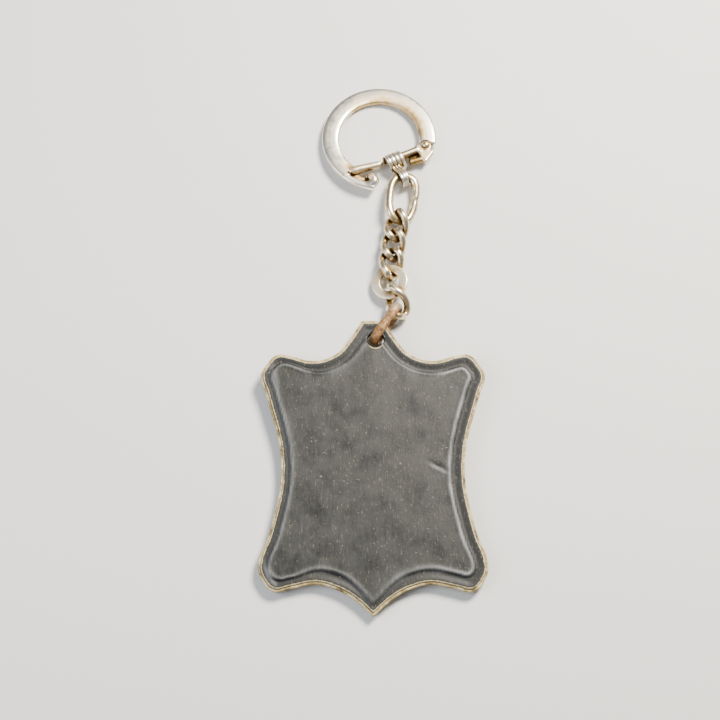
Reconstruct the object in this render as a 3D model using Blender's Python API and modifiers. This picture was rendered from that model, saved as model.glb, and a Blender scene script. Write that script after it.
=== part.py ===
"""Keychain: a hide-shaped fob, a curb chain and a snap key ring closed by a sleeve.

Lies flat. +X is to the right, +Y runs from the fob to the key ring, +Z is up.
Dimensions are in millimetres and are turned into metres as the meshes are made.
"""

import math

import bmesh
import bpy
from mathutils import Matrix, Vector

MM = 0.001
GAP = 0.3

# Fob: one half of the outline, from the neck to the tail. True marks a sharp corner.
FOB_HALF_OUTLINE = [
    (2.6, 3.65, True),
    (5.5, -1.0, False),
    (8.5, -4.4, False),
    (13.8, -6.1, False),
    (20.0, -4.7, False),
    (22.2, -4.6, False),
    (24.7, -7.0, False),
    (26.0, -10.0, False),
    (24.9, -13.6, False),
    (21.0, -31.3, False),
    (23.4, -46.3, False),
    (25.9, -54.3, False),
    (24.9, -57.5, False),
    (22.4, -59.9, False),
    (18.6, -59.3, False),
    (12.8, -58.3, False),
    (8.6, -59.3, False),
    (4.8, -61.3, False),
]
FOB_TAIL_Y = -65.5
FOB_HOLE = (0.6, -1.1)
FOB_HOLE_RADIUS = 2.1
COVER_THICKNESS = 1.1
CORE_THICKNESS = 0.7
PLY_GAP = 0.1
COVER_INSET = 0.75
PANEL_INSET = 3.2
PANEL_RISE = 0.35
FOB_LIFT = math.radians(1.6)
FOB_STEPS = 4

# Key ring, in its own frame: centre at its middle, flat side down, tilted so its far side rests.
RING_CENTRE = (1.7, 51.55, 1.82)
RING_TILT = math.radians(3.7)
RING_OUTER = 13.95
RING_INNER = 9.8
RING_HALF_THICKNESS = 0.85
STRIP_INNER = 12.4
STRIP_START = 232
BAND_START = -8.3
BAND_END = 265
LUG_RADIUS = 2.05
LUG_TOP = -0.2
RIVET_AT = (11.33, -2.17)
RIVET_RADIUS = 0.5
RIVET_HOLE = 0.75
PRONG_RADIUS = 0.95
PRONG_TIP = (0.1, -7.0, 0)
PRONG_ROOT = (-6.9, -8.9, 0)

# Gate and sleeve: distances along the bar are from the rivet, distances across are away from the ring.
BAR_ANGLE = math.radians(23.5)
BAR_RADIUS = 1.0
BAR_LENGTH = 10.4
EYE_RADIUS = 1.9
SLEEVE_AT = 8.5
SLEEVE_DROP = 0.5
SLEEVE_LENGTH = 5.2
SLEEVE_BORE = 1.6
SLEEVE_OUTER = 2.15
RIB_DEPTH = 0.22
LOOP_DROP = 5.6
LOOP_ANGLE = math.radians(19)
LOOP_LENGTH = 2.2
LOOP_BORE = 1.8
LOOP_OUTER = 2.2

# Chain: half width and half length of each wire's centreline.
OVAL_RADIUS = 1.05
OVAL_SIZE = (3.2, 5.72)
CURB_RADIUS = 0.85
CURB_SIZE = (2.3, 3.5)
LAST_CURB_SIZE = (2.25, 3.95)
BAIL_RADIUS = 0.65
BAIL_SIZE = (2.65, 5.16)
BAIL_WIDEN = 1.77
LINK_STEPS = 40


def collection(name):
    found = bpy.data.collections.new(name)
    bpy.context.scene.collection.children.link(found)
    return found


for old in list(bpy.data.objects):
    bpy.data.objects.remove(old, do_unlink=True)

keychain = collection("keychain")
cutters = collection("cutters")


def material(name, colour, metallic, roughness):
    made = bpy.data.materials.new(name)
    made.use_nodes = True
    shader = made.node_tree.nodes["Principled BSDF"]
    shader.inputs["Base Color"].default_value = (*colour, 1.0)
    shader.inputs["Metallic"].default_value = metallic
    shader.inputs["Roughness"].default_value = roughness
    return made


def mesh_object(name, mesh, colour=None):
    """A piece when it has a material, else a cutter."""
    made = bpy.data.objects.new(name, mesh)
    if colour:
        keychain.objects.link(made)
        mesh.materials.clear()
        mesh.materials.append(colour)
    else:
        cutters.objects.link(made)
        made.hide_render = True
        made.display_type = "WIRE"
    return made


def solid_from_curve(name, curve, colour=None):
    """The curve's evaluated mesh with its caps welded on."""
    source = bpy.data.objects.new(name, curve)
    bpy.context.scene.collection.objects.link(source)
    graph = bpy.context.evaluated_depsgraph_get()
    mesh = bpy.data.meshes.new_from_object(source.evaluated_get(graph))
    bpy.data.objects.remove(source, do_unlink=True)
    shape = bmesh.new()
    shape.from_mesh(mesh)
    bmesh.ops.remove_doubles(shape, verts=shape.verts, dist=0.001 * MM)
    bmesh.ops.recalc_face_normals(shape, faces=shape.faces)
    shape.to_mesh(mesh)
    shape.free()
    mesh.shade_smooth()
    mesh.set_sharp_from_angle(angle=math.radians(40))
    return mesh_object(name, mesh, colour)


def plate(name, outline, bottom, top, colour=None):
    """A flat outline in millimetres, made thick from bottom to top."""
    curve = bpy.data.curves.new(name, "CURVE")
    curve.dimensions = "2D"
    curve.fill_mode = "BOTH"
    curve.extrude = (top - bottom) / 2 * MM
    spline = curve.splines.new("POLY")
    spline.points.add(len(outline) - 1)
    for point, (x, y) in zip(spline.points, outline):
        point.co = (x * MM, y * MM, 0, 1)
    spline.use_cyclic_u = True
    made = solid_from_curve(name, curve, colour)
    made.data.transform(Matrix.Translation((0, 0, (top + bottom) / 2 * MM)))
    return made


def wire(name, points, radius, closed, colour=None):
    """A round wire along points in millimetres."""
    curve = bpy.data.curves.new(name, "CURVE")
    curve.dimensions = "3D"
    curve.bevel_depth = radius * MM
    curve.bevel_resolution = 2
    curve.use_fill_caps = True
    spline = curve.splines.new("POLY")
    spline.points.add(len(points) - 1)
    for point, place in zip(spline.points, points):
        point.co = (*(Vector(place) * MM), 1)
    spline.use_cyclic_u = closed
    return solid_from_curve(name, curve, colour)


def turned(name, profile, closed, steps, colour=None):
    """A profile of (radius, height) in millimetres, turned about Z by a Screw modifier."""
    shape = bmesh.new()
    rim = [shape.verts.new((r * MM, 0, z * MM)) for r, z in profile]
    for start, end in zip(rim, rim[1:]):
        shape.edges.new((start, end))
    if closed:
        shape.edges.new((rim[-1], rim[0]))
    mesh = bpy.data.meshes.new(name)
    shape.to_mesh(mesh)
    shape.free()
    made = mesh_object(name, mesh, colour)
    screw = made.modifiers.new("turn", "SCREW")
    screw.steps = screw.render_steps = steps
    screw.use_merge_vertices = True
    screw.merge_threshold = 0.001 * MM
    screw.use_smooth_shade = True
    return made


def cylinder(name, radius, length, centre, axis, sides=32, colour=None):
    shape = bmesh.new()
    bmesh.ops.create_cone(
        shape,
        cap_ends=True,
        segments=sides,
        radius1=radius * MM,
        radius2=radius * MM,
        depth=length * MM,
    )
    turn = Vector((0, 0, 1)).rotation_difference(Vector(axis)).to_matrix().to_4x4()
    move = Matrix.Translation(Vector(centre) * MM) @ turn
    bmesh.ops.transform(shape, matrix=move, verts=shape.verts)
    mesh = bpy.data.meshes.new(name)
    shape.to_mesh(mesh)
    shape.free()
    mesh.shade_smooth()
    mesh.set_sharp_from_angle(angle=math.radians(40))
    return mesh_object(name, mesh, colour)


def boolean(piece, other, operation):
    step = piece.modifiers.new(f"{operation.lower()} {other.name}", "BOOLEAN")
    step.operation = operation
    step.solver = "EXACT"
    step.object = other


def place(piece, centre, roll=0.0, pitch=0.0, tilt=0.0):
    """Rolls a piece about Y, pitches it about X, tilts it about Z, then moves it."""
    turn = Matrix.Rotation(math.radians(tilt), 4, "Z")
    turn @= Matrix.Rotation(math.radians(pitch), 4, "X")
    turn @= Matrix.Rotation(math.radians(-roll), 4, "Y")
    piece.matrix_world = Matrix.Translation(Vector(centre) * MM) @ turn


def joint_empty(name, location):
    """An empty on a joint's axis, at a place in millimetres."""
    empty = bpy.data.objects.new(name, None)
    keychain.objects.link(empty)
    empty.empty_display_size = 2 * MM
    empty.matrix_world = Matrix.Translation(Vector(location) * MM)
    return empty


def hang(piece, empty):
    """Parents a piece to an empty and keeps the piece's place in the world."""
    piece.parent = empty
    piece.matrix_parent_inverse = empty.matrix_world.inverted()


def joined_outline(points, steps):
    """A closed outline through points with soft and sharp corners, as evaluated by a Bezier curve."""
    curve = bpy.data.curves.new("outline", "CURVE")
    curve.dimensions = "2D"
    curve.fill_mode = "NONE"
    curve.resolution_u = steps
    spline = curve.splines.new("BEZIER")
    spline.bezier_points.add(len(points) - 1)
    for knot, (x, y, sharp) in zip(spline.bezier_points, points):
        knot.co = (x, y, 0)
        knot.handle_left_type = knot.handle_right_type = "VECTOR" if sharp else "AUTO"
    spline.use_cyclic_u = True
    guide = bpy.data.objects.new("outline", curve)
    bpy.context.scene.collection.objects.link(guide)
    graph = bpy.context.evaluated_depsgraph_get()
    mesh = bpy.data.meshes.new_from_object(guide.evaluated_get(graph))
    outline = [Vector((v.co.x, v.co.y)) for v in mesh.vertices]
    bpy.data.objects.remove(guide, do_unlink=True)
    return outline


def distance_to(outline, point):
    """The shortest distance from a point to a closed outline."""
    nearest = math.inf
    for start, end in zip(outline, outline[1:] + outline[:1]):
        side = end - start
        along = max(0.0, min(1.0, (point - start).dot(side) / side.length_squared))
        nearest = min(nearest, (point - start - side * along).length)
    return nearest


def inset(outline, distance):
    """The outline moved inwards in short steps; edges that shrink away are left out."""
    steps = math.ceil(distance / 0.4)
    for _ in range(steps):
        moved = []
        for before, here, after in zip(outline[-1:] + outline[:-1], outline, outline[1:] + outline[:1]):
            first = (here - before).normalized()
            outward = (first + (after - here).normalized()).orthogonal().normalized()
            reach = distance / steps / max(0.5, outward.dot(first.orthogonal()))
            moved.append(here - outward * reach)
        kept = []
        for index, new in enumerate(moved):
            following = (index + 1) % len(moved)
            old_side = outline[following] - outline[index]
            new_side = moved[following] - new
            if new_side.dot(old_side) > 0.3 * old_side.length_squared:
                kept.append(new)
        outline = [point for point in kept if distance_to(outline, point) > distance / steps * 0.98]
    return outline


def fob_outline():
    left = [(-x, y, sharp) for x, y, sharp in reversed(FOB_HALF_OUTLINE)]
    return joined_outline(FOB_HALF_OUTLINE + [(0, FOB_TAIL_Y, True)] + left, FOB_STEPS)


def loop_points(half_across, half_along, squareness, end_twist=0.0):
    """A wire loop with its length along Y; end_twist turns its ends about Y."""
    points = []
    for step in range(LINK_STEPS):
        angle = math.tau * (step + 0.5) / LINK_STEPS
        across = half_across * math.copysign(abs(math.cos(angle)) ** squareness[0], math.cos(angle))
        along = half_along * math.copysign(abs(math.sin(angle)) ** squareness[1], math.sin(angle))
        twist = math.radians(end_twist) * along / half_along
        points.append((across * math.cos(twist), along, across * math.sin(twist)))
    return points


def on_bar(along, across, height=0.0):
    """A place in the ring's frame, from its distances along and across the gate's bar."""
    x = RIVET_AT[0] - along * math.cos(BAR_ANGLE) + across * math.sin(BAR_ANGLE)
    y = RIVET_AT[1] - along * math.sin(BAR_ANGLE) - across * math.cos(BAR_ANGLE)
    return (x, y, height)


def on_ring(degrees, radius, height=0.0):
    angle = math.radians(degrees)
    return (radius * math.cos(angle), radius * math.sin(angle), height)


def sector(name, start, end, inner, outer, bottom, top):
    """A cutter over part of the ring's circle, from start to end in degrees."""
    steps = range(13)
    far = [on_ring(start + (end - start) * i / 12, outer)[:2] for i in steps]
    near = [on_ring(end + (start - end) * i / 12, inner)[:2] for i in steps]
    return plate(name, far + near, bottom, top)


def level_axis(angle):
    return (math.cos(angle), math.sin(angle), 0)


def rod(name, start, end, radius, colour=None):
    start = Vector(start)
    end = Vector(end)
    return cylinder(name, radius, (end - start).length, (start + end) / 2, end - start, 24, colour)


black = material("black hide", (0.03, 0.03, 0.03), 0.0, 0.45)
cream = material("raw edge", (0.5, 0.4, 0.26), 0.0, 0.8)
nickel = material("nickel plate", (0.72, 0.66, 0.55), 1.0, 0.28)
rust = material("rusted steel", (0.36, 0.2, 0.11), 0.6, 0.6)


def fob_plies():
    outline = fob_outline()
    cover = inset(outline, COVER_INSET)
    core_bottom = COVER_THICKNESS + PLY_GAP
    front_bottom = core_bottom + CORE_THICKNESS + PLY_GAP
    front_top = front_bottom + COVER_THICKNESS
    back = plate("fob_back_cover", cover, 0, COVER_THICKNESS, black)
    core = plate("fob_core", outline, core_bottom, core_bottom + CORE_THICKNESS, cream)
    front = plate("fob_front_cover", cover, front_bottom, front_top, black)
    panel = plate("raised panel", inset(outline, PANEL_INSET), front_top - GAP, front_top + PANEL_RISE)
    boolean(front, panel, "UNION")
    hole = cylinder("fob hole", FOB_HOLE_RADIUS, 10, (*FOB_HOLE, 2), (0, 0, 1))
    for ply in (back, core, front):
        boolean(ply, hole, "DIFFERENCE")
    lift = Matrix.Translation((0, FOB_TAIL_Y * MM, 0)) @ Matrix.Rotation(FOB_LIFT, 4, "X")
    lift @= Matrix.Translation((0, -FOB_TAIL_Y * MM, 0))
    for shape in (back, core, front, panel, hole):
        shape.matrix_world = lift


def key_ring():
    half = RING_HALF_THICKNESS
    crown = [
        (RING_OUTER - 0.7, half),
        (RING_OUTER - 0.15, half - 0.3),
        (RING_OUTER, 0),
        (RING_OUTER - 0.15, 0.2 - half),
        (RING_OUTER - 0.5, -half),
        (RING_INNER + 0.5, -half),
        (RING_INNER + 0.15, 0.2 - half),
        (RING_INNER, 0),
        (RING_INNER + 0.15, half - 0.3),
        (RING_INNER + 0.7, half),
    ]
    ring = turned("key_ring", crown, True, 72, nickel)
    opening = sector("ring opening", BAND_END - 360, BAND_START, 6, 18, -2, 2)
    trough = sector("ring trough", STRIP_START, BAND_END + 3, 6, STRIP_INNER, -2, 2)
    recess = cylinder("eye recess", LUG_RADIUS + 0.2, 2, (*RIVET_AT, LUG_TOP + 1), (0, 0, 1))
    lug = cylinder("rivet lug", LUG_RADIUS, 0.55, (*RIVET_AT, LUG_TOP - 0.325), (0, 0, 1), 30)
    hole = cylinder("lug hole", RIVET_HOLE, 4, (*RIVET_AT, 0), (0, 0, 1), 16)
    prong = rod("ring prong", PRONG_ROOT, PRONG_TIP, PRONG_RADIUS)
    hook_path = [
        on_ring(258, 13.1),
        on_ring(264, 13.05),
        (-0.85, -12.6, 0.1),
        (-0.7, -11.6, 0.2),
        (-1.0, -10.6, 0.25),
        (-1.9, -10.25, 0.3),
        (-2.6, -10.8, 0.3),
    ]
    hook = wire("ring hook", hook_path, 0.7, False)
    boolean(ring, trough, "DIFFERENCE")
    boolean(ring, opening, "DIFFERENCE")
    boolean(ring, recess, "DIFFERENCE")
    for added in (lug, prong, hook):
        boolean(ring, added, "UNION")
    boolean(ring, hole, "DIFFERENCE")
    return [ring, opening, trough, recess, lug, hole, prong, hook]


def gate_bar():
    bar = rod("gate_bar", on_bar(LUG_RADIUS + GAP, 0), on_bar(BAR_LENGTH, 0), BAR_RADIUS, nickel)
    eye = cylinder("gate eye", EYE_RADIUS, 0.85, (*RIVET_AT, 0.525), (0, 0, 1))
    tab = rod("gate tab", on_bar(0.5, 0, 0.4), on_bar(4, 0, 0.4), 0.3)
    neck_corners = [(0, 0.9), (3.4, 0.9), (3.4, -0.9), (0, -0.9)]
    neck = plate("gate neck", [on_bar(*p)[:2] for p in neck_corners], 0.1, 0.75)
    stop_corners = [(-0.75, 1.05), (-1.25, 2.3), (1.95, 4.25), (2.55, 2.4), (2.4, 0.4)]
    stop = plate("gate stop", [on_bar(*p)[:2] for p in stop_corners], -0.8, 0.8)
    rail = rod("gate rail", on_bar(5.3, 2.4), on_bar(1.4, 2.9), 0.8)
    web_corners = [(1.6, 0), (4.9, 0), (4.9, 2.4), (1.6, 2.6)]
    web = plate("gate web", [on_bar(*p)[:2] for p in web_corners], -0.35, 0.25)
    clear = cylinder("lug clearance", LUG_RADIUS + GAP, 3, (*RIVET_AT, 0.1 - 1.5), (0, 0, 1))
    hole = cylinder("eye hole", RIVET_HOLE, 4, (*RIVET_AT, 0), (0, 0, 1), 16)
    for added in (eye, tab, neck, stop, rail, web):
        boolean(bar, added, "UNION")
    for taken in (clear, hole):
        boolean(bar, taken, "DIFFERENCE")
    return [bar, eye, tab, neck, stop, rail, web, clear, hole]


def gate_rivet():
    top = 0.95
    profile = [
        (0, top + 0.75),
        (0.45, top + 0.62),
        (0.75, top + 0.35),
        (0.85, top + 0.12),
        (RIVET_RADIUS, top + 0.12),
        (RIVET_RADIUS, -0.97),
        (0.85, -0.97),
        (0.8, -1.25),
        (0, -1.3),
    ]
    rivet = turned("gate_rivet", profile, False, 24, nickel)
    rivet.location = Vector(RIVET_AT).to_3d() * MM
    return [rivet]


def ribbed_tube(name, length, outer, ribs, centre, angle):
    """A turned tube with rounded ribs, lying level at an angle from X."""
    per_rib = 4
    rim = []
    for step in range(ribs * per_rib + 1):
        height = length / 2 - length * step / (ribs * per_rib)
        groove = RIB_DEPTH * abs(math.cos(math.pi * step / per_rib))
        rim.append((outer - groove, height))
    tube = turned(name, [(0, length / 2)] + rim + [(0, -length / 2)], False, 24)
    turn = Vector((0, 0, 1)).rotation_difference(Vector(level_axis(angle))).to_matrix().to_4x4()
    tube.matrix_world = Matrix.Translation(Vector(centre) * MM) @ turn
    return tube


def ribbed_sleeve():
    upper_at = on_bar(SLEEVE_AT, SLEEVE_DROP)
    lower_at = on_bar(SLEEVE_AT, LOOP_DROP)
    neck_top = SLEEVE_DROP + 1.7
    neck_end = LOOP_DROP - 1.9
    neck_corners = [(-1.1, neck_top), (1.1, neck_top), (1.1, neck_end), (-1.1, neck_end)]
    corners = [on_bar(SLEEVE_AT + a, b)[:2] for a, b in neck_corners]
    sleeve = plate("ribbed_sleeve", corners, -0.75, 0.75, nickel)
    upper = ribbed_tube("upper loop", SLEEVE_LENGTH, SLEEVE_OUTER, 5, upper_at, BAR_ANGLE)
    lower = ribbed_tube("lower loop", LOOP_LENGTH, LOOP_OUTER, 3, lower_at, LOOP_ANGLE)
    upper_bore = cylinder("upper bore", SLEEVE_BORE, 9, upper_at, level_axis(BAR_ANGLE), 24)
    lower_bore = cylinder("lower bore", LOOP_BORE, 5, lower_at, level_axis(LOOP_ANGLE), 24)
    for added in (upper, lower):
        boolean(sleeve, added, "UNION")
    for taken in (upper_bore, lower_bore):
        boolean(sleeve, taken, "DIFFERENCE")
    return [sleeve, upper, lower, upper_bore, lower_bore]


def ring_frame():
    """From the ring's own frame to the world, in metres."""
    return Matrix.Translation(Vector(RING_CENTRE) * MM) @ Matrix.Rotation(-RING_TILT, 4, "X")


def ring_group():
    """Builds the ring's pieces flat about its centre, then tilts them into place."""
    for shape in key_ring() + gate_bar() + gate_rivet() + ribbed_sleeve():
        shape.matrix_world = ring_frame() @ shape.matrix_basis


def chain():
    oval = wire("oval_link", loop_points(*OVAL_SIZE, (0.72, 0.72), 14), OVAL_RADIUS, True, nickel)
    place(oval, (7.19, 35.5, 2.4), roll=-17.7, pitch=0.8, tilt=-8.4)
    curb = loop_points(*CURB_SIZE, (0.75, 0.75), 60)
    for number, centre, roll, pitch in (
        (1, (5.82, 28.51, 2.52), 14.7, 1.3),
        (2, (4.97, 23.46, 2.44), -2.5, 0),
        (3, (4.38, 18.54, 2.55), -17, -2.5),
    ):
        link = wire(f"curb_link_{number}", curb, CURB_RADIUS, True, nickel)
        place(link, centre, roll, pitch, -7)
    last_curb = loop_points(*LAST_CURB_SIZE, (0.75, 0.75), 81)
    last = wire("curb_link_4", last_curb, CURB_RADIUS, True, nickel)
    place(last, (5.6, 8.95, 3.05), roll=34, tilt=18)
    band = [
        (2.5, 0.42),
        (4.15, 0.42),
        (4.4, 0.2),
        (4.4, -0.2),
        (4.15, -0.42),
        (2.5, -0.42),
        (2.3, -0.2),
        (2.3, 0.2),
    ]
    washer = turned("washer_ring", band, True, 36, nickel)
    washer.location = Vector((4.1, 13.86, 2.67)) * MM
    washer.rotation_euler = (math.radians(-1.5), math.radians(-14.5), 0)
    bail = wire("strap_link", loop_points(*BAIL_SIZE, (0.8, 0.55), 0), BAIL_RADIUS, True, rust)
    bail.data.transform(Matrix.Rotation(math.radians(90), 4, "Y"))
    bail.data.transform(Matrix.Diagonal((BAIL_WIDEN, 1, 1, 1)))
    place(bail, (3.17, 3.17, 3.37), tilt=-34)


def on_ring_frame(point):
    return ring_frame() @ (Vector(point) * MM) / MM


def hang_pieces():
    """Hangs each moving piece on an empty on its joint's axis, each joint on the one before."""
    joints = [
        ("strap swivel", (0.6, -1.1, 3.4), ["strap_link"]),
        ("last curb lift", (5.5, 6.0, 3.4), ["curb_link_4"]),
        ("washer swing", (4.3, 13.2, 2.8), ["washer_ring"]),
        ("third curb lift", (4.0, 14.7, 2.6), ["curb_link_3"]),
        ("second curb swing", (4.67, 21.0, 2.5), ["curb_link_2"]),
        ("first curb lift", (5.4, 26.0, 2.5), ["curb_link_1"]),
        ("oval swing", (6.3, 30.9, 2.5), ["oval_link"]),
        ("sleeve fold", on_ring_frame(on_bar(SLEEVE_AT, LOOP_DROP)), ["ribbed_sleeve"]),
        ("sleeve slide", on_ring_frame(on_bar(SLEEVE_AT, 0)), ["gate_bar"]),
        ("gate hinge", on_ring_frame((*RIVET_AT, 0)), ["key_ring", "gate_rivet"]),
    ]
    parent = None
    for name, location, pieces in joints:
        empty = joint_empty(name, location)
        for piece in pieces:
            hang(bpy.data.objects[piece], empty)
        if parent:
            hang(empty, parent)
        parent = empty


fob_plies()
ring_group()
chain()
bpy.context.view_layer.update()
hang_pieces()
bpy.context.view_layer.update()
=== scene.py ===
import math

import bmesh
import bpy
from mathutils import Matrix, Vector, noise
from mathutils.bvhtree import BVHTree
from mathutils.kdtree import KDTree


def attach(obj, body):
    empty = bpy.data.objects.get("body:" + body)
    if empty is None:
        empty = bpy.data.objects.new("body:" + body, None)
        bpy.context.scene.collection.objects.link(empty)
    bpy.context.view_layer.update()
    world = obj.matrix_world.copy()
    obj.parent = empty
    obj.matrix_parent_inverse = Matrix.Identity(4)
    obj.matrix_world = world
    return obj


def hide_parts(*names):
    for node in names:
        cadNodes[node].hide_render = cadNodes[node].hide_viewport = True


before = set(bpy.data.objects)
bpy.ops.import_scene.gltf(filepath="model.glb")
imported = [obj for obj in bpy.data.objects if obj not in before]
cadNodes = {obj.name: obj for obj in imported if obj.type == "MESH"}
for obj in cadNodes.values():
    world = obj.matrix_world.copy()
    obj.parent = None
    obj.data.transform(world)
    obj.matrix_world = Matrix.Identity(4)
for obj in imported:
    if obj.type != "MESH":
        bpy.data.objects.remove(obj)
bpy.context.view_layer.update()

mm = 0.001

# selecting, shaping and joining, as by hand

def freshStart():
    if bpy.context.object and bpy.context.object.mode != "OBJECT":
        bpy.ops.object.mode_set(mode="OBJECT")
    bpy.ops.object.select_all(action="DESELECT")

def makeActive(piece):
    freshStart()
    piece.select_set(True)
    bpy.context.view_layer.objects.active = piece

def nameIt(name):
    piece = bpy.context.object
    piece.name = name
    piece.data.name = name
    return piece

def pickFaces(piece, rule):
    makeActive(piece)
    bpy.ops.object.mode_set(mode="EDIT")
    bpy.ops.mesh.select_mode(type="FACE")
    bpy.ops.mesh.select_all(action="DESELECT")
    bpy.ops.object.mode_set(mode="OBJECT")
    for face in piece.data.polygons:
        face.select = rule(face)
    bpy.ops.object.mode_set(mode="EDIT")

def pickSharpEdges(piece, degrees=40):
    makeActive(piece)
    bpy.ops.object.mode_set(mode="EDIT")
    bpy.ops.mesh.select_mode(type="EDGE")
    bpy.ops.mesh.select_all(action="DESELECT")
    bpy.ops.mesh.edges_select_sharp(sharpness=math.radians(degrees))

def softenEdges(piece, width, segments=3, degrees=40):
    pickSharpEdges(piece, degrees)
    bpy.ops.mesh.bevel(offset=width * mm, segments=segments, affect="EDGES", clamp_overlap=True)
    bpy.ops.object.mode_set(mode="OBJECT")

def cleanUp(piece, degrees=40):
    makeActive(piece)
    bpy.ops.object.mode_set(mode="EDIT")
    bpy.ops.mesh.select_all(action="SELECT")
    bpy.ops.mesh.remove_doubles(threshold=0.002 * mm)
    bpy.ops.mesh.normals_make_consistent(inside=False)
    bpy.ops.object.mode_set(mode="OBJECT")
    bpy.ops.object.shade_smooth_by_angle(angle=math.radians(degrees))

def cut(piece, tool, operation):
    makeActive(piece)
    step = piece.modifiers.new("cut", "BOOLEAN")
    step.operation = operation
    step.solver = "EXACT"
    step.object = tool
    bpy.ops.object.modifier_apply(modifier=step.name)
    bpy.data.objects.remove(tool, do_unlink=True)

def turnTo(axis):
    return Vector((0, 0, 1)).rotation_difference(Vector(axis)).to_matrix().to_4x4()

def rodBetween(name, start, end, radius, sides=48):
    start, end = Vector(start), Vector(end)
    bpy.ops.mesh.primitive_cylinder_add(
        vertices=sides, radius=radius * mm, depth=(end - start).length * mm)
    rod = nameIt(name)
    rod.data.transform(Matrix.Translation((start + end) / 2 * mm) @ turnTo(end - start))
    return rod

def plateFrom(name, corners, bottom, top):
    bpy.ops.mesh.primitive_circle_add(vertices=len(corners), radius=mm, fill_type="NGON")
    plate = nameIt(name)
    for vertex, (x, y) in zip(plate.data.vertices, corners):
        vertex.co = (x * mm, y * mm, bottom * mm)
    bpy.ops.object.mode_set(mode="EDIT")
    bpy.ops.mesh.select_all(action="SELECT")
    bpy.ops.mesh.extrude_region_move(TRANSFORM_OT_translate={"value": (0, 0, (top - bottom) * mm)})
    bpy.ops.object.mode_set(mode="OBJECT")
    cleanUp(plate)
    return plate

def bendWire(name, places, thickness, closed=False, sides=6):
    # places in millimetres; thickness is one radius, or one for each place
    radii = thickness if isinstance(thickness, list) else [thickness] * len(places)
    freshStart()
    curve = bpy.data.curves.new(name, "CURVE")
    curve.dimensions = "3D"
    curve.bevel_depth = mm
    curve.bevel_resolution = sides
    curve.use_fill_caps = True
    spline = curve.splines.new("POLY")
    spline.points.add(len(places) - 1)
    for point, place, radius in zip(spline.points, places, radii):
        point.co = (*(Vector(place) * mm), 1)
        point.radius = radius
    spline.use_cyclic_u = closed
    wire = bpy.data.objects.new(name, curve)
    bpy.context.scene.collection.objects.link(wire)
    makeActive(wire)
    bpy.ops.object.convert(target="MESH")
    wire = nameIt(name)
    cleanUp(wire)
    return wire

def joinInto(piece, others):
    makeActive(piece)
    for other in others:
        other.select_set(True)
    bpy.ops.object.join()
    return piece

def fuse(piece, parts, voxel, passes):
    # closed parts that overlap become one skin, and run into each other as pressed metal does
    joinInto(piece, parts)
    for kind, settings in (("REMESH", {"mode": "VOXEL", "voxel_size": voxel * mm}),
                           ("SMOOTH", {"factor": 0.5, "iterations": passes})):
        step = piece.modifiers.new("fuse", kind)
        for setting, value in settings.items():
            setattr(step, setting, value)
        bpy.ops.object.modifier_apply(modifier=step.name)

def smoothPath(knots, steps):
    # a Catmull-Rom run through the knots, each a place with its radius
    run = [knots[0]] + list(knots) + [knots[-1]]
    places = []
    for a, b, c, d in zip(run, run[1:], run[2:], run[3:]):
        for step in range(steps):
            t = step / steps
            places.append([
                0.5 * (2 * q + (r - p) * t + (2 * p - 5 * q + 4 * r - s) * t * t
                       + (3 * q - p - 3 * r + s) * t ** 3)
                for p, q, r, s in zip(a, b, c, d)
            ])
    return places + [list(knots[-1])]

cameraPlan = {"place": (-2.98, -128.25, 380.4), "lookAt": (-2.98, -4.65, 0), "lens": 85}

cameraData = bpy.data.cameras.new("camera")
camera = bpy.data.objects.new("camera", cameraData)
bpy.context.scene.collection.objects.link(camera)
camera.location = Vector(cameraPlan["place"]) * mm
lookAlong = Vector(cameraPlan["lookAt"]) * mm - camera.location
camera.rotation_euler = lookAlong.to_track_quat("-Z", "Y").to_euler()
cameraData.lens = cameraPlan["lens"]
cameraData.clip_start = 0.01
bpy.context.scene.camera = camera

def hexColour(text):
    # sRGB hex to the linear values that nodes take
    parts = [int(text[i:i + 2], 16) / 255 for i in (1, 3, 5)]
    return (*[c / 12.92 if c <= 0.04045 else ((c + 0.055) / 1.055) ** 2.4 for c in parts], 1)

def addNode(material, kind, settings={}, sockets={}):
    tree = material.node_tree
    node = tree.nodes.new(kind)
    for name, value in settings.items():
        if name == "stops":
            while len(node.color_ramp.elements) < len(value):
                node.color_ramp.elements.new(0.5)
            for element, (place, shade) in zip(node.color_ramp.elements, value):
                element.position = place
                element.color = shade
        else:
            setattr(node, name, value)
    for name, value in sockets.items():
        if isinstance(value, bpy.types.NodeSocket):
            tree.links.new(value, node.inputs[name])
        else:
            node.inputs[name].default_value = value
    return node

def newMaterial(name):
    made = bpy.data.materials.new(name)
    made.use_nodes = True
    made.node_tree.nodes.clear()
    return made

def grey(value):
    return (value, value, value, 1)

studio = {
    "floor": "#dcdcd9", "floorSize": 4.0,
    "key": {"place": (170, 190, 330), "size": 150, "power": 5.8, "tint": "#fff8ec"},
    "fill": {"place": (-260, -60, 260), "size": 260, "power": 1.3, "tint": "#eef3ff"},
    "room": {"sky": "#f7f9ff", "strength": 0.27},
}

bpy.ops.mesh.primitive_plane_add(size=studio["floorSize"], location=(0, 0, 0))
floor = nameIt("floor")
floorPaper = newMaterial("matt paper floor")  # uncoated backdrop paper, so no gloss at all
paperShader = addNode(floorPaper, "ShaderNodeBsdfPrincipled", {}, {
    "Base Color": hexColour(studio["floor"]), "Roughness": 0.9, "Specular IOR Level": 0.2})
addNode(floorPaper, "ShaderNodeOutputMaterial", {}, {"Surface": paperShader.outputs[0]})
floor.data.materials.append(floorPaper)

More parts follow.
